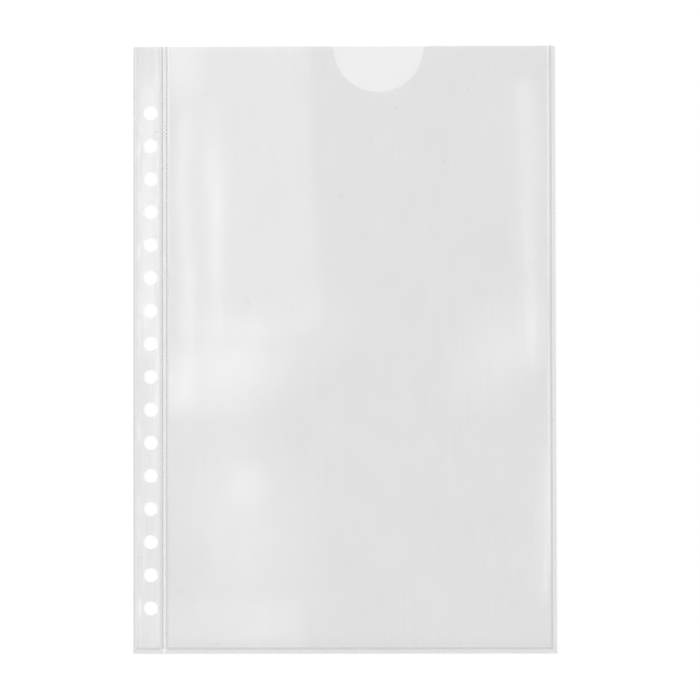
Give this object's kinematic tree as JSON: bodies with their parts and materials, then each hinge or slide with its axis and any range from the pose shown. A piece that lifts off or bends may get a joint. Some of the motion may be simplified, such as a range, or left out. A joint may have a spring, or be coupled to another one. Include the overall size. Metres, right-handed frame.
{
  "type": "sheet protector",
  "caption": "Clear top-loading page pocket welded from two soft vinyl films, with a punched binding strip that folds along a welded seam and a thumb notch at the mouth.",
  "frame": {"origin": "under the middle of the sheet, on the surface that it lies on", "axes": "+X from the spine edge to the fore edge, +Y from the foot weld to the open mouth, +Z out of the front film"},
  "size_m": [0.1084, 0.1556, 0.0006],
  "materials": {
    "clear_film": "clear soft vinyl film, glossy with a faint grey haze",
    "welded_film": "the same vinyl pressed and fused, greyer, with a fine crosswise grain"
  },
  "bodies": {
    "binding_strip": {"strip_back_film": "clear_film", "strip_front_film": "clear_film", "spine_edge_weld": "welded_film", "strip_foot_weld": "welded_film", "seam_strip_bead": "welded_film", "seam_crease": "welded_film"},
    "pocket": {"seam_pocket_bead": "welded_film", "pocket_back_film": "clear_film", "fore_edge_weld": "welded_film", "pocket_foot_weld": "welded_film"},
    "front_panel": {"pocket_front_film": "clear_film"}
  },
  "joints": [
    {"name": "page_turn", "type": "hinge", "parent": "binding_strip", "child": "pocket", "pos_m": [-0.0463, 0, 0.00025], "axis": [0, -1, 0], "range_deg": [-90, 90], "deforming": ["seam_crease"]},
    {"name": "mouth_open", "type": "hinge", "parent": "pocket", "child": "front_panel", "pos_m": [0.0037, -0.0762, 0.0003], "axis": [1, 0, 0], "range_deg": [0, 6], "stiffness_Nm_per_rad": 0.05}
  ]
}
